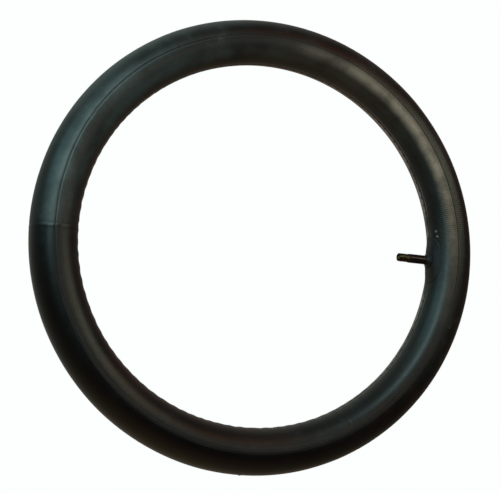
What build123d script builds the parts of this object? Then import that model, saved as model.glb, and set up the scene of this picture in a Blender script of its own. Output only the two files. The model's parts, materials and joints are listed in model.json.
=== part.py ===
from build123d import *
from math import degrees, sqrt
import os

# Bicycle inner tube with a rubber-covered, screw-core valve, in millimetres.
# The ring lies flat on its side: its axis is Z and its centre is the origin. The valve
# stands on the inner equator at +X and points along -X, at the ring's centre.

# ring
ring_radius = 182.8  # centreline of the inflated section
section_radius = 20.2
wall = 0.85
air_hole_dia = 4.0

# patch cured to the ring round the valve
pad_length = 44.0  # along the ring
pad_width = 27.0  # across it
pad_thickness = 0.5
pad_skive = 1.2  # sideways run of its two long ends for each mm of height
pad_hole_dia = 3.4

# stem, from the ring's inner equator to the mouth
stem_length = 32.2
bare_length = 10.5  # brass that stands out of the rubber cover

# rubber cover of the stem
cover_wall = 0.35  # rubber over the brass thread's crest
cover_lip_round = 0.3
cover_flare = 3.4  # radius of the root's hollow round
cover_root_edge = 0.45  # thickness of the root's rim where it is thinnest
cover_air_dia = 3.0

# brass stem, outside
thread_dia = 7.7
thread_pitch = 0.794  # 32 threads an inch, drawn as rings
thread_depth = 0.42
thread_crest = 0.12
thread_under_cover = 1.2
nose_chamfer = 0.5
shank_step = 0.6  # from the crest down to the shank
shank_cone = 0.8  # length of that step
foot_step = 0.85  # from the shank up to the foot flange
foot_thickness = 1.0
under_foot = 1.1  # rubber between the foot and the patch
grip_height = 0.3
grip_width = 0.8
grip_count = 4
grip_pitch = 2.8

# brass stem, inside
mouth_step = 0.2  # from the core thread up to the mouth
mouth_depth = 2.0
core_thread_dia = 5.2  # 36 threads an inch, drawn plain
thread_spare = 0.25  # thread left in the stem past the seated plug
chamber_step = 0.15  # from the core thread down to the chamber
seat_length = 3.2
seat_drop = 0.4  # by which the seat narrows
foot_bore_dia = 2.6

# valve core: clearances
running_gap = 0.05  # radial, between pieces that turn or slide on each other
swivel_gap = 0.08
seal_gap = 0.02
barrel_gap = 0.075
cup_air_gap = 0.25  # round the cup, in the stem's well
pin_clear = 0.3  # left at the end of the pin's stroke

# valve core: plug
plug_head_length = 2.0
plug_head_step = 0.45
plug_flats = 2.5
plug_chamber_dia = 2.9
bridge_thickness = 1.0
plug_thread_length = 2.6
plug_thread_chamfer = 0.3
skirt_step = 0.3
skirt_wall = 0.47
lip_thickness = 0.5

# valve core: barrel and its seal
collar_thickness = 0.6
collar_step = 0.5
neck_wall = 0.4
shoulder_gap = 0.3
shoulder_length = 0.6
seal_length = 2.6
seal_wall = 0.5  # where the seal is thinnest
barrel_wall = 0.4
barrel_step = 0.2
barrel_below_seal = 3.8
ledge_thickness = 0.9

# valve core: pin, cup and spring
pin_dia = 0.95
pin_head_dia = 1.7
pin_head_length = 0.9
pin_head_round = 0.25
pin_depth = 0.3  # from the mouth to the pin's tip
pin_stroke = 1.5
ear_gap = 0.1
ear_width = 1.2
ear_length = 0.5
ear_drop = 0.4  # from the start of the spring's room
rivet_dia = 1.5
rivet_length = 0.4
cup_wall = 0.3
cup_seal_length = 0.9
cup_rim_gap = 0.3
spring_wire_dia = 0.26
spring_turns = 6

# widths that follow from the sizes
cover_dia = thread_dia + 2 * cover_wall
root_radius = cover_dia / 2 + cover_flare
shank_dia = thread_dia - 2 * shank_step
foot_dia = shank_dia + 2 * foot_step
mouth_dia = core_thread_dia + 2 * (running_gap + mouth_step)
chamber_dia = core_thread_dia - 2 * chamber_step
seat_end_dia = chamber_dia - 2 * seat_drop
seal_bore_dia = seat_end_dia - 2 * seal_wall
spring_room_dia = seal_bore_dia - 2 * barrel_wall
shoulder_dia = chamber_dia - 2 * shoulder_gap
barrel_dia = seal_bore_dia + 2 * barrel_step
well_dia = barrel_dia + 2 * barrel_gap
plug_head_dia = core_thread_dia - 2 * plug_head_step
skirt_dia = core_thread_dia - 2 * skirt_step
collar_dia = skirt_dia - 2 * (skirt_wall + swivel_gap)
neck_dia = collar_dia - 2 * collar_step
air_way_dia = neck_dia - 2 * neck_wall
ear_dia = spring_room_dia - 2 * ear_gap
cup_dia = well_dia - 2 * cup_air_gap

# places along the stem, as depths from its mouth
pad_face = stem_length - pad_thickness
foot_end = pad_face - under_foot
foot_start = foot_end - foot_thickness
thread_end = bare_length + thread_under_cover
plug_start = pin_depth + pin_head_length + pin_stroke + pin_clear
plug_thread_start = plug_start + plug_head_length
plug_thread_end = plug_thread_start + plug_thread_length
recess_end = plug_thread_end + collar_thickness + 2 * swivel_gap
plug_end = recess_end + lip_thickness
core_bore_end = plug_thread_end + thread_spare
collar_start = plug_thread_end + swivel_gap
neck_start = collar_start + collar_thickness
shoulder_start = plug_end + swivel_gap
seal_start = shoulder_start + shoulder_length
seal_end = seal_start + seal_length
seat_end = seal_start + seat_length
barrel_end = seal_end + barrel_below_seal
ledge_start = barrel_end - ledge_thickness
ear_start = seal_start + ear_drop
ear_end = ear_start + ear_length
cup_seal_start = barrel_end + seal_gap
cup_seal_end = cup_seal_start + cup_seal_length
cup_start = barrel_end + cup_rim_gap
cup_end = cup_seal_end + cup_wall
pin_end = cup_end + rivet_length
well_end = pin_end + pin_stroke + pin_clear

# places on the ring
inner_equator = ring_radius - section_radius
mouth_x = inner_equator - stem_length
pad_crown_radius = inner_equator - pad_thickness
pad_rise = pad_crown_radius - sqrt(pad_crown_radius**2 - (pad_length / 2) ** 2) + pad_thickness
pad_reach = degrees(pad_length / inner_equator)
root_rise = pad_crown_radius - sqrt(pad_crown_radius**2 - root_radius**2)
flare_end = pad_face - root_rise - cover_root_edge

# The stem and its core are turned about X. Their outlines are points of depth from the
# mouth and radius, in this plane.
stem_plane = Plane(origin=(mouth_x, 0, 0), x_dir=(1, 0, 0), z_dir=(0, 0, 1))
seat_slope = seat_drop / seat_length


def seat_radius(depth):
    """Radius of the stem's taper seat at a depth from the mouth."""
    return chamber_dia / 2 - seat_slope * (depth - seal_start)


def turned(*outline, mode=Mode.ADD):
    """Turns an outline of (depth, radius) points about the stem's axis."""
    with BuildSketch(stem_plane) as section:
        with BuildLine():
            Polyline(*outline, close=True)
        make_face()
    revolve(section.sketch, axis=Axis.X, mode=mode)


def tubular(start, end, outer_dia, inner_dia):
    """Adds a plain sleeve on the stem's axis between two depths."""
    inner, outer = inner_dia / 2, outer_dia / 2
    turned((start, inner), (start, outer), (end, outer), (end, inner))


def bored(start, end, dia):
    """Cuts a round hole on the stem's axis between two depths."""
    with BuildSketch(Plane.YZ.offset(mouth_x + start)) as hole:
        Circle(dia / 2)
    extrude(hole.sketch, amount=end - start, mode=Mode.SUBTRACT)


def flatted(start, end, across):
    """Cuts two flats, a given width apart, on what is turned between two depths."""
    for side in (-1, 1):
        with BuildSketch(Plane.YZ.offset(mouth_x + start)) as waste:
            with Locations((0, side * (across / 2 + thread_dia))):
                Rectangle(4 * thread_dia, 2 * thread_dia)
        extrude(waste.sketch, amount=end - start, mode=Mode.SUBTRACT)


def ring_arc(radius, half_angle, mode=Mode.ADD):
    """Makes a solid arc of the ring, of a given section radius, to both sides of the valve."""
    with BuildSketch(Plane.XZ.rotated((0, 0, -half_angle))) as section:
        with Locations((ring_radius, 0)):
            Circle(radius)
    revolve(section.sketch, axis=Axis.Z, revolution_arc=2 * half_angle, mode=mode)


def stem_outline():
    """Outside of the brass stem, from the mouth to the foot flange."""
    crest, shank, foot = thread_dia / 2, shank_dia / 2, foot_dia / 2
    root, flank = crest - thread_depth, thread_pitch / 2 - thread_crest
    points = [(0, 0), (0, crest - nose_chamfer), (nose_chamfer, crest)]
    for turn in range(int((thread_end - nose_chamfer) / thread_pitch)):
        start = nose_chamfer + thread_crest + turn * thread_pitch
        points += [(start, crest), (start + flank, root)]
        points += [(start + flank + thread_crest, root), (start + 2 * flank + thread_crest, crest)]
    points.append((thread_end, crest))
    start = thread_end + shank_cone
    points.append((start, shank))
    for _ in range(grip_count):
        start += grip_pitch
        grip = shank + grip_height
        points += [(start, shank), (start, grip), (start + grip_width, grip)]
        points.append((start + grip_width, shank))
    points += [(foot_start, shank), (foot_start, foot), (foot_end, foot), (foot_end, 0)]
    return points


def finish(piece, name):
    """Labels a piece and writes it."""
    piece.part.label = name
    export_step(piece.part, f"parts/{name}.step")


os.makedirs("parts", exist_ok=True)

# ring: a closed hollow section with one air hole under the valve
with BuildPart() as tube_body:
    with BuildSketch(Plane.XZ):
        with Locations((ring_radius, 0)):
            Circle(section_radius)
            Circle(section_radius - wall, mode=Mode.SUBTRACT)
    revolve(axis=Axis.Z)
    bored(stem_length - wall, stem_length + 2 * wall, air_hole_dia)
finish(tube_body, "tube_body")

# patch: an oval saddle on the ring, thinned towards its edge
with BuildPart() as valve_pad:
    ring_arc(section_radius + pad_thickness, pad_reach)
    ring_arc(section_radius, 2 * pad_reach, mode=Mode.SUBTRACT)
    for depth in (-pad_rise, section_radius / 2):
        with BuildSketch(Plane.YZ.offset(inner_equator + depth)):
            Ellipse(pad_length / 2 + pad_skive * (depth + pad_rise), pad_width / 2)
    loft(mode=Mode.INTERSECT)
    bored(pad_face - wall, stem_length + wall, pad_hole_dia)
finish(valve_pad, "valve_pad")

# brass stem: thread, shank with grip rings, foot flange; core thread, seat and well
with BuildPart() as valve_stem:
    turned(*stem_outline())
    bored(0, mouth_depth, mouth_dia)
    bored(0, core_bore_end, core_thread_dia + 2 * running_gap)
    bored(0, seal_start, chamber_dia)
    turned(
        (seal_start, 0),
        (seal_start, chamber_dia / 2),
        (seat_end, seat_end_dia / 2),
        (seat_end, 0),
        mode=Mode.SUBTRACT,
    )
    bored(seat_end, well_end, well_dia)
    bored(well_end, foot_end, foot_bore_dia)
finish(valve_stem, "valve_stem")

# rubber cover: parallel jacket, hollow-rounded root on the patch, moulded round the brass
with BuildPart() as stem_cover:
    with BuildSketch(stem_plane):
        with BuildLine():
            side = Line((bare_length, cover_dia / 2), (flare_end - cover_flare, cover_dia / 2))
            root = JernArc(side @ 1, tangent=(1, 0), radius=cover_flare, arc_size=90)
            bottom = stem_length + cover_flare
            Polyline(root @ 1, (bottom, root_radius), (bottom, 0), (bare_length, 0), side @ 0)
        make_face()
    revolve(axis=Axis.X)
    fillet(stem_cover.edges().group_by(Axis.X)[0], cover_lip_round)
    turned(*stem_outline(), mode=Mode.SUBTRACT)
    ring_arc(section_radius + pad_thickness, pad_reach, mode=Mode.SUBTRACT)
    bored(foot_end, stem_length, cover_air_dia)
finish(stem_cover, "stem_cover")

# plug: bridge with two tool flats, threaded body, skirt closed under the barrel's collar
with BuildPart() as core_plug:
    head, crest, skirt = plug_head_dia / 2, core_thread_dia / 2, skirt_dia / 2
    turned(
        (plug_start, 0),
        (plug_start, head),
        (plug_thread_start, head),
        (plug_thread_start + plug_thread_chamfer, crest),
        (plug_thread_end - plug_thread_chamfer, crest),
        (plug_thread_end, skirt),
        (plug_end, skirt),
        (plug_end, 0),
    )
    bored(plug_start, plug_thread_end, pin_dia + 2 * running_gap)
    bored(plug_start + bridge_thickness, plug_thread_end, plug_chamber_dia)
    bored(plug_thread_end, recess_end, collar_dia + 2 * swivel_gap)
    bored(recess_end, plug_end, neck_dia + 2 * swivel_gap)
    flatted(plug_start, plug_thread_start, plug_flats)
finish(core_plug, "core_plug")

# barrel: swivel collar and neck, two shoulders round the seal, foot that the cup closes
with BuildPart() as core_barrel:
    turned(
        (collar_start, 0),
        (collar_start, collar_dia / 2),
        (neck_start, collar_dia / 2),
        (neck_start, neck_dia / 2),
        (shoulder_start, neck_dia / 2),
        (shoulder_start, shoulder_dia / 2),
        (seal_start, shoulder_dia / 2),
        (seal_start, seal_bore_dia / 2),
        (seal_end, seal_bore_dia / 2),
        (seal_end, barrel_dia / 2),
        (barrel_end, barrel_dia / 2),
        (barrel_end, 0),
    )
    bored(collar_start, barrel_end, air_way_dia)
    bored(seal_start, ledge_start, spring_room_dia)
finish(core_barrel, "core_barrel")

# sealing ring, tapered as the seat in the stem
with BuildPart() as barrel_seal:
    turned(
        (seal_start, seal_bore_dia / 2),
        (seal_start, seat_radius(seal_start) - seal_gap),
        (seal_end, seat_radius(seal_end) - seal_gap),
        (seal_end, seal_bore_dia / 2),
    )
finish(barrel_seal, "barrel_seal")

# pin: round head at the mouth, two pressed ears for the spring, riveted foot
with BuildPart() as core_pin:
    turned(
        (pin_depth, 0),
        (pin_depth, pin_head_dia / 2),
        (pin_depth + pin_head_length, pin_head_dia / 2),
        (pin_depth + pin_head_length, pin_dia / 2),
        (ear_start, pin_dia / 2),
        (ear_start, ear_dia / 2),
        (ear_end, ear_dia / 2),
        (ear_end, pin_dia / 2),
        (cup_end, pin_dia / 2),
        (cup_end, rivet_dia / 2),
        (pin_end, rivet_dia / 2),
        (pin_end, 0),
    )
    flatted(ear_start, ear_end, ear_width)
    fillet(core_pin.edges().group_by(Axis.X)[0], pin_head_round)
finish(core_pin, "core_pin")

# cup on the pin's foot, open towards the barrel
with BuildPart() as plunger_cup:
    turned(
        (cup_start, cup_dia / 2 - cup_wall),
        (cup_start, cup_dia / 2),
        (cup_end, cup_dia / 2),
        (cup_end, pin_dia / 2),
        (cup_seal_end, pin_dia / 2),
        (cup_seal_end, cup_dia / 2 - cup_wall),
    )
finish(plunger_cup, "plunger_cup")

# rubber ring in the cup
with BuildPart() as cup_seal:
    tubular(cup_seal_start, cup_seal_end, cup_dia - 2 * cup_wall, pin_dia)
finish(cup_seal, "cup_seal")

# spring round the pin, from the barrel's ledge to the pin's ears
with BuildPart() as core_spring:
    coil_height = ledge_start - ear_end - spring_wire_dia - 2 * seal_gap
    with BuildLine() as coil:
        Helix(
            pitch=coil_height / spring_turns,
            height=coil_height,
            radius=(spring_room_dia + pin_dia) / 4,
            center=(mouth_x + ear_end + seal_gap + spring_wire_dia / 2, 0, 0),
            direction=(1, 0, 0),
        )
    with BuildSketch(Plane(coil.line @ 0, z_dir=coil.line % 0)):
        Circle(spring_wire_dia / 2)
    sweep(path=coil.wires()[0], is_frenet=True)
finish(core_spring, "core_spring")
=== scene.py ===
import json
import math

import bmesh
import bpy
from mathutils import Matrix, Vector, noise


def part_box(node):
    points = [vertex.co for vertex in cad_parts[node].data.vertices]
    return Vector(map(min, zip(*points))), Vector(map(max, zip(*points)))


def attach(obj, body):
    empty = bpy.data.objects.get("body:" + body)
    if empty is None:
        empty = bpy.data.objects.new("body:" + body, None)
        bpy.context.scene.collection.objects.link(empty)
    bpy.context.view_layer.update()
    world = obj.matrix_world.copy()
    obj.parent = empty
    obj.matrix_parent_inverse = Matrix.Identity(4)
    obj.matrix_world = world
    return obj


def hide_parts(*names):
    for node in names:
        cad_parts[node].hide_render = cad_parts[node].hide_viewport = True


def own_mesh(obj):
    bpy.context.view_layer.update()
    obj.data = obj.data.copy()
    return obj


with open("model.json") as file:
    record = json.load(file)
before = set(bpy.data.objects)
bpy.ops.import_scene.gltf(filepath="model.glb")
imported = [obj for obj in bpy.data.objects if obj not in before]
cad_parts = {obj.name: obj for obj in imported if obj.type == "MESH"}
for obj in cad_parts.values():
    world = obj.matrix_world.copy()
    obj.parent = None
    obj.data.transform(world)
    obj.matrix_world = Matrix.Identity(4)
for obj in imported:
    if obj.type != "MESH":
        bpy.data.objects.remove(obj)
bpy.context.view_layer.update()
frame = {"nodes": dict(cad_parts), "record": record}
print("frame loaded:", len(frame["nodes"]), "nodes")

mm = 0.001
tau = 2 * math.pi
doublesReach = 0.002 * mm

# places, all read from the frame

overall = frame["record"]["size"]["bbox_m"]
sectionRadius = overall[2] / 2
ringRadius = overall[0] / 2 - sectionRadius
innerEquator = ringRadius - sectionRadius
stemLow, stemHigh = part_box("valve_stem")
coverLow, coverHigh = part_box("stem_cover")
padLow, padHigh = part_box("valve_pad")
mouthX = stemLow.x  # the stem's open end, towards the ring's centre
padThickness = innerEquator - padLow.x


def smooth(low, high, value):
    share = min(1.0, max(0.0, (value - low) / (high - low)))
    return share * share * (3 - 2 * share)


def bell(distance, width):
    return math.exp(-((distance / width) ** 2))


def turnBetween(first, second):
    # signed angle from the second azimuth to the first, in degrees
    return (first - second + 180) % 360 - 180


def ringPlace(azimuth, angle, height=0.0):
    # point on the ring; angle is 0 at the inner equator and 90 on the upper side, in degrees
    reach = sectionRadius + height
    a, b = math.radians(azimuth), math.radians(angle)
    out = ringRadius - reach * math.cos(b)
    return Vector((out * math.cos(a), out * math.sin(a), reach * math.sin(b)))


def ringAngles(point):
    # azimuth and section angle of a point near the ring, in degrees
    out = math.hypot(point.x, point.y)
    azimuth = math.degrees(math.atan2(point.y, point.x))
    return azimuth, math.degrees(math.atan2(point.z, ringRadius - out))


def makePiece(bm, name, body, node, material):
    bmesh.ops.remove_doubles(bm, verts=bm.verts, dist=doublesReach)
    bmesh.ops.recalc_face_normals(bm, faces=bm.faces)
    mesh = bpy.data.meshes.new(name)
    bm.to_mesh(mesh)
    bm.free()
    mesh.shade_smooth()
    piece = bpy.data.objects.new(name, mesh)
    bpy.context.scene.collection.objects.link(piece)
    mesh.materials.append(material)
    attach(piece, body)
    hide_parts(node)
    return piece


# the inflated ring; azimuths and section angles are in degrees
ring = {
    "steps": 1200,
    "slices": 30,  # the ring is spun in equal slices
    "sectionPoints": 80,
    "rowClose": 0.78,  # how far the section's rows draw together at its four quarters
    "creaseAngle": 88.0,
    "creaseDrift": 2.5,
    "creaseBend": (140, 35, 6.0),  # azimuth, spread and height
    "creaseDepth": 0.42 * mm,
    "creaseWidth": 1.5,
    "creaseLip": (4.2, 2.2, 0.4),  # angle from the crease, width, share of its depth
    "creaseReach": 16,  # how far the mesh's rows follow the crease
    "seamHeight": 0.22 * mm,
    "seamRidge": (-2.5, 3.2),  # section angle and width
    "seamGroove": (4.0, 1.6, 0.6),  # section angle, width, share of the ridge's height
    "puckerPitch": 7.5 * mm,
    "puckerDepth": 0.55 * mm,
    "puckerRow": (-5.5, 3.0),
    "wrinklePitch": 10.0 * mm,
    "wrinkleDepth": 0.49 * mm,
    "wrinkleRow": (-1, 15),
    "wrinkleAzimuth": 235,  # where the wrinkles are deepest
    "spliceAzimuth": 182.0,
    "spliceHeight": 0.09 * mm,
    "transverseMarks": ((120.5, 88), (299.0, 0)),  # azimuth, and the angle it starts at
    "markDepth": 0.09 * mm,
    "markHeight": 0.05 * mm,
    "swell": 0.15 * mm,
    "nibAzimuth": 268.0,
    "nibHeight": 0.9 * mm,
}


class Wire:
    # one socket of a material; sums and products of wires add Math nodes
    def __init__(self, tree, socket=None):
        self.tree = tree
        self.socket = socket

    def add(self, kind, settings=None, inputs=None, output=0):
        node = self.tree.nodes.new(kind)
        for name, value in (settings or {}).items():
            setattr(node, name, value)
        for name, value in (inputs or {}).items():
            if isinstance(value, Wire):
                self.tree.links.new(value.socket, node.inputs[name])
            else:
                node.inputs[name].default_value = value
        return Wire(self.tree, node.outputs[output])

    def maths(self, operation, *others):
        return self.add("ShaderNodeMath", {"operation": operation}, dict(enumerate((self, *others))))

    def __add__(self, other):
        return self.maths("ADD", other)

    __radd__ = __add__

    def __sub__(self, other):
        return self.maths("SUBTRACT", other)

    def __rsub__(self, other):
        return self.add("ShaderNodeMath", {"operation": "SUBTRACT"}, {0: other, 1: self})

    def __mul__(self, other):
        return self.maths("MULTIPLY", other)

    __rmul__ = __mul__

    def __truediv__(self, other):
        return self.maths("DIVIDE", other)

    def __rtruediv__(self, other):
        return self.add("ShaderNodeMath", {"operation": "DIVIDE"}, {0: other, 1: self})

    def parts(self):
        return [self.add("ShaderNodeSeparateXYZ", inputs={0: self}, output=n) for n in range(3)]

    def between(self, low, high):
        # 0 below low, 1 above high, smooth between
        return self.add(
            "ShaderNodeMapRange",
            {"interpolation_type": "SMOOTHSTEP"},
            {"Value": self, "From Min": low, "From Max": high},
        )

    def near(self, centre, width):
        # 1 at centre, falling to 0 at width away
        return 1 - (self - centre).maths("ABSOLUTE").between(0, width)

    def noise(self, scale, detail=2.0, roughness=0.5, stretch=None):
        place = self
        if stretch:
            place = self.add("ShaderNodeVectorMath", {"operation": "MULTIPLY"}, {0: self, 1: stretch})
        return self.add(
            "ShaderNodeTexNoise",
            inputs={"Vector": place, "Scale": scale, "Detail": detail, "Roughness": roughness},
        )

    def plain(self, colour):
        # the same colour everywhere, for a mix to start from
        rgb = self.add("ShaderNodeRGB")
        rgb.socket.default_value = colour
        return rgb

    def blendTo(self, other, share):
        # colour mix; a plain colour is a tuple of four
        node = {"data_type": "RGBA"}
        return self.add("ShaderNodeMix", node, {0: share, 6: self, 7: other}, output=2)


def startMaterial(name, settings):
    # a material with a Principled shader; settings are the shader's own constants
    material = bpy.data.materials.new(name)
    material.use_nodes = True
    tree = material.node_tree
    shader = tree.nodes["Principled BSDF"]
    for key, value in settings.items():
        shader.inputs[key].default_value = value
    wire = Wire(tree)
    position = wire.add("ShaderNodeTexCoord", output="Object")

    def feed(socketName, value):
        tree.links.new(value.socket, shader.inputs[socketName])

    return material, wire, position, feed


def ringReading(position):
    # azimuth, counted round from one side of the splice to the other, and section angle
    x, y, z = position.parts()
    out = (x * x + y * y).maths("SQRT")
    azimuth = y.maths("ARCTAN2", x) * (180 / math.pi)
    azimuth = azimuth.maths("WRAP", ring["spliceAzimuth"], ring["spliceAzimuth"] - 360)
    angle = z.maths("ARCTAN2", ringRadius - out) * (180 / math.pi)
    return azimuth, angle


rubber = {
    "deep": (0.0035, 0.0036, 0.0038, 1),
    "grey": (0.011, 0.012, 0.012, 1),
    "brown": (0.018, 0.008, 0.006, 1),
    "dust": (0.11, 0.12, 0.12, 1),
    "roughness": 0.38,
    "grainRoughness": 0.1,  # how much the grain adds to the roughness
    "dustRoughness": 0.15,
    "grainHeight": 0.012 * mm,
    "rootRun": (7 * mm, 3 * mm),  # distances from the ring between which the root turns dull
}


def rubberBase(position, dustShare, warmth=0.6):
    # mottled black rubber with dust on it: its colour, and the dust alone
    cloud = position.noise(14, 4, 0.6)
    colour = position.plain(rubber["deep"]).blendTo(rubber["grey"], cloud.between(0.4, 0.65))
    colour = colour.blendTo(rubber["brown"], position.noise(22, 3).between(0.45, 0.65) * warmth)
    dust = position.noise(60, 6, 0.7).between(0.52, 0.78) * cloud.between(0.35, 0.7) * dustShare
    return colour.blendTo(rubber["dust"], dust * 0.4), dust


def bumped(wire, height):
    return wire.add("ShaderNodeBump", inputs={"Height": height, "Distance": 1.0})


def makeRubber(name, dustShare, roughness, warmth=0.6, rootDullness=0.0):
    material, wire, position, feed = startMaterial(name, {"IOR": 1.5})
    colour, dust = rubberBase(position, dustShare, warmth)
    grain = position.noise(160, 3, 0.6)
    feed("Base Color", colour)
    rootStart, rootEnd = (innerEquator - run for run in rubber["rootRun"])
    root = position.parts()[0].between(rootStart, rootEnd) * rootDullness
    coarse = grain * rubber["grainRoughness"] + dust * rubber["dustRoughness"]
    feed("Roughness", coarse + root + (roughness - 0.05))
    feed("Normal", bumped(wire, grain * rubber["grainHeight"]))
    return material


# colours that lie on the ring alone; azimuths and section angles are in degrees
ringFinish = {
    "dullSide": (55, 115),  # azimuths between which it turns dull and dusty
    "dullBand": (20, 70),  # section angles, the same
    # the sleek side: smoother, and darkened by painted shade
    "sleekShadedSide": (-75, -35),
    "sleekShadedBand": (70, 100),
    "paintedShadeBlack": (0.0012, 0.0012, 0.0013, 1),
    # areas of painted light, then a brown tint by the valve: azimuth and its spread, section angle and
    # its spread, colour
    "paintedLightAndTint": (
        # painted light: a paler zone over the inner upper side
        (75, 125, 48, 50, (0.046, 0.042, 0.036, 1)),
        # painted light: a bluish grey zone on the left
        (140, 62, 50, 36, (0.060, 0.088, 0.094, 1)),
        # painted light along the outer side at the upper left
        (125, 62, 142, 34, (0.070, 0.080, 0.080, 1)),
        (162, 50, 97, 36, (0.150, 0.175, 0.175, 1)),  # paints a weak highlight
        (36, 62, 75, 24, (0.640, 0.480, 0.380, 1)),  # paints a strong highlight
        # a brown tint of the rubber round the valve
        (1, 10, 12, 20, (0.022, 0.009, 0.007, 1)),
    ),
    "ribPitch": 2.0 * mm,
    "ribHeight": 0.045 * mm,
    "ribSide": (28, 65),  # azimuth and spread
    # how much the ribs vary the painted light: a painted shading of the ribs
    "ribShade": 0.22,
    # the crease's painted shade line and its painted highlight edge
    "creaseShadeLine": (0, 2.3),  # angle from the crease, and width
    "creaseHighlightEdge": (-2.6, 1.6, 0.25),  # the same, and how pale
    "seamColour": (0.400, 0.290, 0.270, 1),
    "seamStrip": (-6, 10),  # section angle and width
    "seamEdge": (10, 2.4, 0.6),  # the same, and how pale
    "seamSide": (20, 130),  # azimuth and spread where the strip is palest
    "seamLine": (5.5, 2.2, 0.8),
    "seamDots": (1, 8),
    "dotWidth": 0.3,  # share of the puckers' pitch
    # painted glints by the valve
    "paintedGlints": ((9.3, 30), (7.6, 33)),  # azimuth and section angle
    "glintColour": (0.34, 0.33, 0.31, 1),
    "glintShare": 0.8,
    "glintEdge": (1.5 * mm, 2.9 * mm),
    "glintTear": 2.4 * mm,
}


def creaseWire(azimuth):
    # creasePlace as wires, with its bend ended by the splice
    middle, spread, rise = ring["creaseBend"]
    turn = (azimuth - middle) / spread
    bend = (turn * turn * -1).maths("EXPONENT") * rise
    drift = (azimuth * (math.pi / 180)).maths("SINE") * ring["creaseDrift"]
    return drift + ring["creaseAngle"] + bend


def seamPainted(colour, position, azimuth, angle):
    # the moulded seam on the inner side: a paler strip, a dark line, and dark dots of painted shade at
    # the puckers' pitch
    finish = ringFinish
    edge, edgeWidth, edgeShare = finish["seamEdge"]
    lineAngle, lineWidth, lineShare = finish["seamLine"]
    uneven = position.noise(45, 3).between(0.3, 0.6)
    strip = angle.near(*finish["seamStrip"]).between(0, 0.35) + angle.near(edge, edgeWidth) * edgeShare
    strip = strip * uneven * (azimuth.near(*finish["seamSide"]) * 0.8 + 0.2)
    colour = colour.blendTo(finish["seamColour"], strip)
    puckers = math.pi / 180 * innerEquator / ring["puckerPitch"]  # to a degree of azimuth
    beat = (azimuth * puckers + position.noise(18, 1)).maths("FRACT")
    # painted shade of the puckers, as dark dots
    puckerShadeDots = beat.near(0.5, finish["dotWidth"]) * angle.near(*finish["seamDots"])
    line = angle.near(lineAngle, lineWidth) * lineShare
    return colour.blendTo(rubber["deep"], (puckerShadeDots + line).maths("MINIMUM", 1.0))


def paintGlints(colour, wire, position):
    # painted glints by the valve: small pale spots with torn edges
    finish = ringFinish
    for azimuth, angle in finish["paintedGlints"]:
        ends = {0: position, 1: ringPlace(azimuth, angle)}
        reach = wire.add("ShaderNodeVectorMath", {"operation": "DISTANCE"}, ends, "Value")
        torn = reach + position.noise(900, 2) * finish["glintTear"]
        inside = 1 - torn.between(*finish["glintEdge"])
        colour = colour.blendTo(finish["glintColour"], inside * finish["glintShare"])
    return colour


def makeRingRubber():
    finish = ringFinish
    material, wire, position, feed = startMaterial("butylBlack", {"IOR": 1.5})
    azimuth, angle = ringReading(position)
    above = angle.maths("ABSOLUTE")
    # dull and dusty on one side of the splice; sleek on the other, and darkened there to black by
    # painted shade
    dull = azimuth.between(*finish["dullSide"]) * above.between(*finish["dullBand"])
    sleekAndShaded = (1 - azimuth.between(*finish["sleekShadedSide"])) * above.between(*finish["sleekShadedBand"])
    colour, dust = rubberBase(position, dull * 1.4 + 0.7)
    # fine ribs across the ring, and the areas of painted light and tint they show in
    waves = (azimuth * (math.pi / 180 * ringRadius / finish["ribPitch"] * tau)).maths("SINE")
    ribs = waves * azimuth.near(*finish["ribSide"]) * position.noise(9, 2).between(0.25, 0.55)
    paintedLightMottle = position.noise(30, 5, 0.65).between(0.3, 0.64) * 0.65 + 0.35
    # the ribs' painted shading inside the painted light
    paintedLightMottle = paintedLightMottle * (ribs * finish["ribShade"] + 0.92)
    for turn, spread, tilt, width, shade in finish["paintedLightAndTint"]:
        colour = colour.blendTo(shade, azimuth.near(turn, spread) * above.near(tilt, width) * paintedLightMottle)
    # painted shade: the sleek side darkened to near black
    colour = colour.blendTo(finish["paintedShadeBlack"], sleekAndShaded * 0.85)
    # the fold crease: a painted shade along it, and a painted highlight at its pale edge
    crease = above - creaseWire(azimuth)
    edge, edgeWidth, edgeShare = finish["creaseHighlightEdge"]
    colour = colour.blendTo(rubber["dust"], crease.near(edge, edgeWidth) * edgeShare)
    colour = colour.blendTo(finish["paintedShadeBlack"], crease.near(*finish["creaseShadeLine"]))
    colour = seamPainted(colour, position, azimuth, angle)
    feed("Base Color", paintGlints(colour, wire, position))
    grain = position.noise(160, 3, 0.6)
    coarse = grain * rubber["grainRoughness"] + position.noise(14, 4, 0.6) * 0.1
    coarse = coarse + dust * rubber["dustRoughness"] + dull * 0.03 - sleekAndShaded * 0.05
    feed("Roughness", coarse + (rubber["roughness"] - 0.1))
    feed("Normal", bumped(wire, grain * rubber["grainHeight"] + ribs * finish["ribHeight"]))
    return material


metal = {
    "tarnished": (0.070, 0.042, 0.022, 1),
    "worn": (0.36, 0.24, 0.12, 1),
    "stain": (0.03, 0.02, 0.014, 1),
    "grainHeight": 0.01 * mm,
}
steel = {"Metallic": 1.0, "Roughness": 0.3, "Base Color": (0.6, 0.6, 0.58, 1)}


def makeBrass(name, tarnish, roughness):
    material, wire, position, feed = startMaterial(name, {"Metallic": 1.0})
    cloud = position.noise(420, 4, 0.6)
    bare = cloud.between(tarnish - 0.25, tarnish + 0.12)
    colour = position.plain(metal["tarnished"]).blendTo(metal["worn"], bare)
    stain = position.noise(900, 3, 0.6).between(0.5, 0.7)
    feed("Base Color", colour.blendTo(metal["stain"], stain * 0.6))
    feed("Roughness", cloud * 0.25 + (roughness - 0.12))
    grain = position.noise(1500, 2, 0.5, stretch=(8, 1, 1))
    feed("Normal", bumped(wire, grain * metal["grainHeight"]))
    return material


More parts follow.
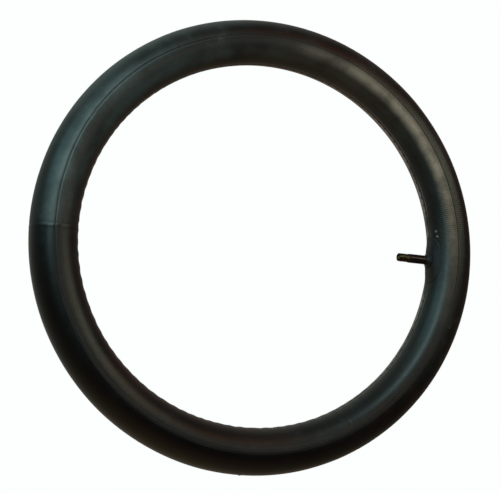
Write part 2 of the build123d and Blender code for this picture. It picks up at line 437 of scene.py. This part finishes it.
butyl = makeRingRubber()
patchRubber = makeRubber("patchRubber", 0.5, 0.48, 1.0)
jacketRubber = makeRubber("jacketRubber", 0.3, 0.19, 1.0, 0.35)
sealRubber = makeRubber("sealRubber", 0.2, 0.45)
stemBrass = makeBrass("stemBrass", 0.75, 0.42)
coreBrass = makeBrass("coreBrass", 0.45, 0.30)
springSteel = startMaterial("springSteel", steel)[0]
print("materials made")


def creasePlace(azimuth):
    # section angle of the fold crease
    middle, spread, rise = ring["creaseBend"]
    bend = rise * bell(turnBetween(azimuth, middle), spread)
    return ring["creaseAngle"] + ring["creaseDrift"] * math.sin(math.radians(azimuth)) + bend


def ringRelief(azimuth, angle):
    # height of the ring's surface over its plain round section
    place = ringPlace(azimuth, angle)
    along = math.radians(azimuth) * innerEquator
    return (
        creaseRelief(azimuth, angle, place)
        + seamRelief(azimuth, angle, along)
        + markRelief(azimuth, angle)
        + ring["swell"] * (noise.noise(place * 16) + 0.5 * noise.noise(place * 34))
    )


def creaseRelief(azimuth, angle, place):
    lip, lipWidth, lipShare = ring["creaseLip"]
    crease = abs(abs(angle) - creasePlace(azimuth))
    fade = 0.55 + 0.45 * noise.noise(place * 30)
    groove = bell(crease, ring["creaseWidth"]) - lipShare * bell(crease - lip, lipWidth)
    return -ring["creaseDepth"] * fade * groove


def seamRelief(azimuth, angle, along):
    # moulded seam on the inner equator, with puckers along its lower edge
    ridge, ridgeWidth = ring["seamRidge"]
    groove, grooveWidth, grooveShare = ring["seamGroove"]
    row, rowWidth = ring["puckerRow"]
    height = ring["seamHeight"] * bell(angle - ridge, ridgeWidth)
    height -= grooveShare * ring["seamHeight"] * bell(angle - groove, grooveWidth)
    beat = along / ring["puckerPitch"] + 0.7 * noise.noise(Vector((along * 25, 3.1, 0)))
    uneven = 0.5 + 0.9 * abs(noise.noise(Vector((along * 40, 7.7, 0))))
    fold = max(0.0, math.sin(tau * beat)) ** 3
    height -= ring["puckerDepth"] * uneven * fold * bell(angle - row, rowWidth)

    # shallow wrinkles across the inner side, strongest away from the valve
    row, rowWidth = ring["wrinkleRow"]
    far = 0.2 + 0.8 * smooth(60, 120, 180 - abs(turnBetween(azimuth, ring["wrinkleAzimuth"])))
    beat = along / ring["wrinklePitch"] + 1.1 * noise.noise(Vector((along * 18, 1.3, 0)))
    fold = 0.5 * (1 - math.cos(tau * beat))
    return height - ring["wrinkleDepth"] * far * uneven * fold * bell(angle - row, rowWidth)


def markRelief(azimuth, angle):
    # splice and fainter marks across the section, and the nib on the outer edge
    def across(mark, radius=ringRadius):
        return turnBetween(azimuth, mark) * math.radians(1) * radius

    splice = across(ring["spliceAzimuth"])
    height = ring["spliceHeight"] * bell(splice - 1.3 * mm, 1.0 * mm)
    height -= 1.4 * ring["spliceHeight"] * bell(splice + 1.0 * mm, 0.9 * mm)
    for mark, start in ring["transverseMarks"]:
        shown = smooth(start - 2, start + 6, abs(angle))
        height -= ring["markDepth"] * shown * bell(across(mark), 0.9 * mm)
        height += ring["markHeight"] * shown * bell(across(mark) - 2.4 * mm, 1.0 * mm)
    nib = across(ring["nibAzimuth"], ringRadius + sectionRadius)
    return height + ring["nibHeight"] * bell(nib, 0.9 * mm) * bell(abs(angle) - 180, 2.6)


def makeRing():
    bm = bmesh.new()
    bmesh.ops.create_circle(bm, segments=ring["sectionPoints"], radius=sectionRadius)
    for v in bm.verts:
        a = math.atan2(v.co.y, v.co.x)
        a -= ring["rowClose"] * math.sin(4 * a) / 4
        v.co = Vector((ringRadius - sectionRadius * math.cos(a), 0, sectionRadius * math.sin(a)))
    turn = {"cent": (0, 0, 0), "axis": (0, 0, 1)}  # spin about the ring's own axis
    slices = ring["slices"]
    bmesh.ops.spin(
        bm,
        geom=bm.verts[:] + bm.edges[:],
        angle=tau / slices,
        steps=ring["steps"] // slices,
        **turn,
    )
    first = bm.verts[:] + bm.edges[:] + bm.faces[:]
    for n in range(1, slices):
        bmesh.ops.spin(bm, geom=first, angle=tau * n / slices, steps=1, use_duplicate=True, **turn)
    bmesh.ops.remove_doubles(bm, verts=bm.verts, dist=0.01 * mm)
    for v in bm.verts:
        azimuth, angle = ringAngles(v.co)
        lead = creasePlace(azimuth) - 90
        side = bell(abs(angle) - 90, ring["creaseReach"])
        angle += math.copysign(lead * side, angle)
        v.co = ringPlace(azimuth, angle, ringRelief(azimuth, angle))
    return makePiece(bm, "innerTubeRing", "tube", "tube_body", butyl)


makeRing()
print("ring made")

# patch round the valve

patch = {
    "rings": 14,
    "steps": 96,
    "squareness": 2.5,
    "skiveStart": 0.3,
    "edgeHeight": 0.04 * mm,
    "sink": 0.35 * mm,
    "holeShare": 0.16,
    "unevenness": 0.05 * mm,
}
patchHalfLength = padHigh.y
patchHalfWidth = sectionRadius * math.asin(padHigh.z / sectionRadius)


def makePatch():
    # a disc of (share of the outline, height), turned, then squared and laid on the ring
    rim = 1 - patch["holeShare"]
    shares = [patch["holeShare"] + rim * n / patch["rings"] for n in range(patch["rings"] + 1)]
    outline = []
    for share in shares:
        skive = smooth(patch["skiveStart"], 1.0, share)
        outline.append((share, padThickness * (1 - skive) + patch["edgeHeight"] * skive))
    outline.append((1.0, -patch["sink"]))
    outline.append((patch["holeShare"], -patch["sink"]))
    bm = bmesh.new()
    verts = [bm.verts.new((share, 0, height)) for share, height in outline]
    edges = [bm.edges.new((a, b)) for a, b in zip(verts, verts[1:] + verts[:1])]
    bmesh.ops.spin(
        bm,
        geom=verts + edges,
        cent=(0, 0, 0),
        axis=(0, 0, 1),
        angle=tau,
        steps=patch["steps"],
        use_merge=True,
    )
    power = patch["squareness"]
    for v in bm.verts:
        share = math.hypot(v.co.x, v.co.y)
        turn = math.atan2(v.co.y, v.co.x)
        reach = (abs(math.cos(turn)) ** power + abs(math.sin(turn)) ** power) ** (-1 / power)
        along = share * reach * math.cos(turn) * patchHalfLength
        across = share * reach * math.sin(turn) * patchHalfWidth
        azimuth = math.degrees(along / (ringRadius - sectionRadius))
        angle = math.degrees(across / sectionRadius)
        height = v.co.z
        if height > 0:
            height += patch["unevenness"] * noise.noise(Vector((along, across, 0)) * 250)
        v.co = ringPlace(azimuth, angle, height + ringRelief(azimuth, angle))
    return makePiece(bm, "valvePatch", "tube", "valve_pad", patchRubber)


makePatch()
print("patch made")

# stem cover

cover = {
    "steps": 96,
    "lipRound": 0.35 * mm,
    "wall": 0.35 * mm,
    "rimThickness": 0.45 * mm,
    "sink": 0.25 * mm,
    "radius": 4.2 * mm,
    "boreRadius": 1.5 * mm,
}
rootRadius = coverHigh.y
threadRadius = cover["radius"] - cover["wall"]


def patchSurface(y, z):
    # x of the patch's face beside the stem
    out = ringRadius - math.sqrt((sectionRadius + padThickness) ** 2 - z * z)
    return math.sqrt(out * out - y * y)


def turnedPiece(outline, steps):
    # a closed outline of (x, radius) points, turned about the stem's axis
    bm = bmesh.new()
    verts = [bm.verts.new((x, 0, radius)) for x, radius in outline]
    edges = [bm.edges.new((a, b)) for a, b in zip(verts, verts[1:] + verts[:1])]
    bmesh.ops.spin(
        bm,
        geom=verts + edges,
        cent=(0, 0, 0),
        axis=(1, 0, 0),
        angle=tau,
        steps=steps,
        use_merge=True,
    )
    bmesh.ops.remove_doubles(bm, verts=bm.verts, dist=doublesReach)
    return bm


def arc(centreX, centreR, radius, start, end, count):
    # points of an arc in the (x, radius) plane, angles in degrees
    turns = [math.radians(start + (end - start) * n / count) for n in range(count + 1)]
    return [(centreX + radius * math.cos(t), centreR + radius * math.sin(t)) for t in turns]


def makeCover():
    face = patchSurface(0, 0)
    coverRadius, boreRadius = cover["radius"], cover["boreRadius"]
    flare = rootRadius - coverRadius
    flareStart = face - cover["rimThickness"] - flare
    lip = cover["lipRound"]
    outline = [(coverLow.x, threadRadius)]
    outline += arc(coverLow.x + lip, coverRadius - lip, lip, 180, 90, 5)
    outline += [(coverLow.x + (flareStart - coverLow.x) * n / 12, coverRadius) for n in range(1, 12)]
    outline += arc(flareStart, coverRadius + flare, flare, -90, 0, 14)
    outline += [(face + cover["sink"], rootRadius), (face + cover["sink"], boreRadius)]
    outline += [(stemHigh.x, boreRadius), (stemHigh.x, threadRadius)]
    bm = turnedPiece(outline, cover["steps"])
    for v in bm.verts:
        lean = smooth(flareStart, face - 0.5 * mm, v.co.x)
        v.co.x += lean * (patchSurface(v.co.y, v.co.z) - face)
    return makePiece(bm, "stemCover", "tube", "stem_cover", jacketRubber)


makeCover()
print("stem cover made")

# brass stem and valve core: turned and threaded pieces


def openLoop(bm, x):
    # the open edges that lie in the plane at x
    return [e for e in bm.edges if e.is_boundary and all(abs(v.co.x - x) < 0.02 * mm for v in e.verts)]


def carryOn(bm, x, points):
    # goes on from the open edge at x through (x, radius) points; gives where it ends
    edges = openLoop(bm, x)
    for x, radius in points:
        made = bmesh.ops.extrude_edge_only(bm, edges=edges)["geom"]
        edges = [g for g in made if isinstance(g, bmesh.types.BMEdge) and g.is_boundary]
        for v in {v for e in edges for v in e.verts}:
            turn = math.atan2(v.co.z, v.co.y)
            v.co = Vector((x, radius * math.cos(turn), radius * math.sin(turn)))
    return edges


def screwThread(start, end, crest, depth, pitch, steps):
    # right-hand thread between two places on the stem's axis, cut square at both ends
    turns = math.ceil((end - start) / pitch) + 2
    flat = pitch / 8
    root = crest - depth
    shape = ((0, root), (flat, root), (pitch / 2, crest), (pitch / 2 + flat, crest), (pitch, root))
    bm = bmesh.new()
    verts = [bm.verts.new((start - pitch + x, 0, radius)) for x, radius in shape]
    edges = [bm.edges.new(pair) for pair in zip(verts, verts[1:])]
    bmesh.ops.spin(
        bm,
        geom=verts + edges,
        cent=(0, 0, 0),
        axis=(1, 0, 0),
        dvec=(pitch / steps, 0, 0),
        angle=tau * turns,
        steps=steps * turns,
    )
    bmesh.ops.remove_doubles(bm, verts=bm.verts, dist=0.001 * mm)
    for x, outwards in ((start, -1), (end, 1)):
        cut = {"plane_co": (x, 0, 0), "plane_no": (outwards, 0, 0), "clear_outer": True}
        bmesh.ops.bisect_plane(bm, geom=bm.verts[:] + bm.edges[:] + bm.faces[:], **cut)
    return bm


def closeShell(bm, firstEdges, secondEdges):
    bmesh.ops.bridge_loops(bm, edges=firstEdges + secondEdges)


def depthPlaces(*points):
    # (depth from the mouth, radius) in mm, as (x, radius) in metres
    return [(mouthX + depth * mm, radius * mm) for depth, radius in points]


# outlines are points of depth from the mouth and radius, in mm
stem = {
    "steps": 48,
    "pitch": 0.794 * mm,
    "crest": 3.85 * mm,
    "threadDepth": 0.42 * mm,
    "threadEnd": 11.7 * mm,
    "nose": 0.5 * mm,
    "noseRadius": 3.3 * mm,
    "shank": (12.5, 3.25),
    "footThickness": 1,
    "footRadius": 4.1,
    "footBoreRadius": 1.3,
    "mouth": ((0, 2.95), (0.12, 2.85), (2, 2.85), (2, 2.65)),
    "coreThread": ((7.85, 2.65), (7.85, 2.45)),
    "seat": ((9.54, 2.45), (12.74, 2.05)),
    "well": ((12.74, 1.825), (19.36, 1.825)),
}


def makeStem():
    start, end = mouthX + stem["nose"], mouthX + stem["threadEnd"]
    bm = screwThread(start, end, stem["crest"], stem["threadDepth"], stem["pitch"], stem["steps"])
    foot = (stemHigh.x - mouthX) / mm
    flange, footRadius, bore = foot - stem["footThickness"], stem["footRadius"], stem["footBoreRadius"]
    shankRadius = stem["shank"][1]
    footOutline = ((flange, shankRadius), (flange, footRadius), (foot, footRadius), (foot, bore))
    outside = carryOn(bm, end, depthPlaces(stem["shank"], *footOutline))
    wellEnd = stem["well"][1][0]
    boreOutline = stem["mouth"] + stem["coreThread"] + stem["seat"] + stem["well"]
    boreOutline += ((wellEnd, bore), (foot - 0.1, bore))
    inside = carryOn(bm, start, [(mouthX, stem["noseRadius"])] + depthPlaces(*boreOutline))
    closeShell(bm, outside, inside)
    return makePiece(bm, "brassStem", "tube", "valve_stem", stemBrass)


plug = {
    "steps": 40,
    "pitch": 0.7056 * mm,
    "crest": 2.6 * mm,
    "threadDepth": 0.36 * mm,
    "threadRun": (5.0 * mm, 7.6 * mm),
    "flats": 2.5 * mm,
    "skirt": ((7.6, 2.3), (8.8, 2.3), (8.86, 2.24), (8.86, 1.35), (8.36, 1.35)),
    "head": ((5, 2.15), (4.96, 2.15), (3.15, 2.15), (3, 2)),
    "bore": ((3, 0.55), (4, 0.55), (4, 1.45), (7.6, 1.45), (7.6, 1.85), (8.36, 1.85)),
}


def makePlug():
    start, end = (mouthX + depth for depth in plug["threadRun"])
    bm = screwThread(start, end, plug["crest"], plug["threadDepth"], plug["pitch"], plug["steps"])
    skirt = carryOn(bm, end, depthPlaces(*plug["skirt"]))
    head = carryOn(bm, start, depthPlaces(*plug["head"], *plug["bore"]))
    closeShell(bm, skirt, head)
    half = plug["flats"] / 2
    for v in bm.verts:
        if v.co.x < start - 0.02 * mm:  # the head, above the thread
            v.co.y = min(half, max(-half, v.co.y))
    return makePiece(bm, "corePlug", "plug", "core_plug", coreBrass)


pin = {
    "steps": 40,
    "depth": 0.3 * mm,
    "headRadius": 0.85 * mm,
    "domeHeight": 0.22 * mm,
    "domeTurns": (0.35, 0.7, 1.05, 1.35),  # radians from the tip
    "head": ((0.62, 0.85), (1.12, 0.85), (1.2, 0.78), (1.2, 0.475)),
    "ears": ((9.94, 0.475), (9.94, 1.0), (10.44, 1.0), (10.44, 0.475)),
    "rivet": ((17.16, 0.475), (17.16, 0.75), (17.56, 0.7), (17.56, 0.1)),
    "earWidth": 1.2 * mm,
}


def makePin():
    tip = mouthX + pin["depth"]
    outline = [(tip, 0.1 * mm)]
    for t in pin["domeTurns"]:
        outline.append((tip + pin["domeHeight"] * (1 - math.cos(t)), pin["headRadius"] * math.sin(t)))
    outline += depthPlaces(*pin["head"], *pin["ears"], *pin["rivet"])
    bm = turnedPiece(outline, pin["steps"])
    earStart, earEnd = pin["ears"][0][0] * mm, pin["ears"][-1][0] * mm
    half = pin["earWidth"] / 2
    for v in bm.verts:
        if earStart - 0.04 * mm < v.co.x - mouthX < earEnd + 0.06 * mm:
            v.co.y = min(half, max(-half, v.co.y))
    return makePiece(bm, "corePin", "pin", "core_pin", coreBrass)


spring = {
    "wireRadius": 0.13 * mm,
    "coilRadius": 0.8125 * mm,
    "turns": 6,
    "stepsPerTurn": 24,
    "run": (10.6 * mm, 14.88 * mm),  # depths from the mouth
    "travel": 1.5 * mm,
}


def makeSpring():
    start, end = (mouthX + depth for depth in spring["run"])
    bm = bmesh.new()
    bmesh.ops.create_circle(bm, segments=12, radius=spring["wireRadius"], cap_ends=False)
    place = Matrix.Translation((start, 0, spring["coilRadius"])) @ Matrix.Rotation(math.pi / 2, 4, "X")
    bmesh.ops.transform(bm, matrix=place, verts=bm.verts)
    steps = spring["turns"] * spring["stepsPerTurn"]
    bmesh.ops.spin(
        bm,
        geom=bm.verts[:] + bm.edges[:],
        cent=(0, 0, 0),
        axis=(1, 0, 0),
        dvec=((end - start) / steps, 0, 0),
        angle=tau * spring["turns"],
        steps=steps,
    )
    bmesh.ops.holes_fill(bm, edges=[e for e in bm.edges if e.is_boundary])
    piece = makePiece(bm, "coreSpring", "core", "core_spring", springSteel)
    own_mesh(piece)
    return piece


makeStem()
makePlug()
makePin()
makeSpring()
for name, finish in (
    ("core_barrel", coreBrass),
    ("plunger_cup", coreBrass),
    ("barrel_seal", sealRubber),
    ("cup_seal", sealRubber),
):
    part = frame["nodes"][name]
    part.data.materials.clear()
    part.data.materials.append(finish)
print("stem and core made")

# floor, light, camera

stage = {
    "roomSize": 12.0,
    "floorGap": 0.6 * mm,  # under the ring
    "pale": (0.97, 1.0, 0.985, 1),
    # place, width and height, red green and blue watts, aim
    "lamps": {
        "strip": ((-0.42, 0.46, 1.0), (0.75, 0.14), (2.5, 3.9, 3.9), (-0.1, 0.1, 0)),
        "broadLeft": ((-1.1, 0.6, 0.7), (0.5, 0.9), (1.45, 2.85, 3.1), (0, 0, 0)),
        "broadRight": ((1.0, 0.5, 0.9), (0.5, 0.9), (2.86, 2.95, 2.2), (0, 0, 0)),
        "broadBackRight": ((0.5, 1.0, 0.9), (0.9, 0.5), (0.86, 0.15, 0.0), (0, 0, 0)),
        "topSmall": ((0.0, 0.1, 1.2), (0.4, 0.4), (0.15, 0.2, 0.18), (0, 0, 0)),
        "lampRight": ((0.26, 0.12, 0.95), (0.22, 0.22), (0.20, 0.15, 0.13), (0.1, 0.05, 0)),
    },
    "longSides": {"strip": (-0.66, -0.75, 0)},  # where a lamp's width runs
    # azimuth and rise in degrees, sharpness, colour
    "glows": (
        (120, -40, 2.5, (0.34, 0.49, 0.43)),
        (270, 30, 6, (0.12, 0.06, 0.05)),
        (300, -40, 2.5, (0.09, 0.08, 0.05)),
        (240, -40, 2.5, (0.20, 0.15, 0.13)),
        (255, 0, 6, (0.087, 0.073, 0.0)),
        (60, -40, 2.5, (0.12, 0.0, 0.0)),
    ),
}


def makeFloor():
    # a pale room round the object, seen by the camera only
    bm = bmesh.new()
    bmesh.ops.create_cube(bm, size=stage["roomSize"])
    middle = stage["roomSize"] / 2 - sectionRadius - stage["floorGap"]
    bmesh.ops.translate(bm, verts=bm.verts, vec=(0, 0, middle))
    bmesh.ops.reverse_faces(bm, faces=bm.faces)
    mesh = bpy.data.meshes.new("floor")
    bm.to_mesh(mesh)
    bm.free()
    floor = bpy.data.objects.new("floor", mesh)
    bpy.context.scene.collection.objects.link(floor)
    settings = {"Roughness": 1.0, "Specular IOR Level": 0.0, "Base Color": (0.01, 0.01, 0.01, 1)}
    settings.update({"Emission Strength": 1.0, "Emission Color": stage["pale"]})
    mesh.materials.append(startMaterial("paleFloor", settings)[0])
    for kind in ("diffuse", "glossy", "transmission", "volume_scatter", "shadow"):
        setattr(floor, "visible_" + kind, False)


def makeLamp(name, place, size, watts, aim, run=None):
    data = bpy.data.lights.new(name, "AREA")
    data.shape = "RECTANGLE"
    data.size, data.size_y = size
    data.energy = max(watts)
    data.color = [share / max(watts) for share in watts]
    lamp = bpy.data.objects.new(name, data)
    bpy.context.scene.collection.objects.link(lamp)
    back = (Vector(place) - Vector(aim)).normalized()
    if run:
        right = (Vector(run) - back * back.dot(Vector(run))).normalized()
        turned = Matrix((right, back.cross(right), back)).transposed()
    else:
        turned = (back * -1).to_track_quat("-Z", "Y").to_matrix()
    lamp.matrix_world = Matrix.Translation(place) @ turned.to_4x4()


def makeWorld():
    # soft glows from a few sides, as a studio's reflectors give
    world = bpy.data.worlds.new("studio")
    world.use_nodes = True
    wire = Wire(world.node_tree)
    direction = wire.add("ShaderNodeTexCoord", output="Generated")
    light = None
    for turn, rise, sharpness, colour in stage["glows"]:
        a, b = math.radians(turn), math.radians(rise)
        toward = (math.cos(b) * math.cos(a), math.cos(b) * math.sin(a), math.sin(b))
        ends = {0: direction, 1: toward}
        facing = wire.add("ShaderNodeVectorMath", {"operation": "DOT_PRODUCT"}, ends, "Value")
        glow = ((facing - 1) * sharpness).maths("EXPONENT")
        part = wire.add("ShaderNodeVectorMath", {"operation": "SCALE"}, {0: colour, "Scale": glow})
        if light:
            part = wire.add("ShaderNodeVectorMath", {"operation": "ADD"}, {0: light, 1: part})
        light = part
    background = world.node_tree.nodes["Background"]
    world.node_tree.links.new(light.socket, background.inputs["Color"])
    background.inputs["Strength"].default_value = 1.0
    bpy.context.scene.world = world


camera = {
    "lens": 61.6,
    "distance": 0.7633,
    "tilt": 17.47,
    "azimuth": 205.4,
    "roll": 4.3,  # of the camera's upright, from +Y
    "shift": (-0.0285, -0.0092),
}


def makeCamera():
    data = bpy.data.cameras.new("camera")
    data.lens = camera["lens"]
    data.sensor_width = 36
    data.shift_x, data.shift_y = camera["shift"]
    eye = bpy.data.objects.new("camera", data)
    bpy.context.scene.collection.objects.link(eye)
    tilt, turn, roll = (math.radians(camera[k]) for k in ("tilt", "azimuth", "roll"))
    back = Vector((math.sin(tilt) * math.cos(turn), math.sin(tilt) * math.sin(turn), math.cos(tilt)))
    up = Vector((-math.sin(roll), math.cos(roll), 0))
    right = up.cross(back).normalized()
    up = back.cross(right)
    turned = Matrix((right, up, back)).transposed().to_4x4()
    eye.matrix_world = Matrix.Translation(back * camera["distance"]) @ turned
    bpy.context.scene.camera = eye


makeFloor()
makeCamera()
for name, (place, size, watts, aim) in stage["lamps"].items():
    makeLamp(name, place, size, watts, aim, stage["longSides"].get(name))
makeWorld()
bpy.context.scene.view_settings.view_transform = "Standard"
print("stage made")
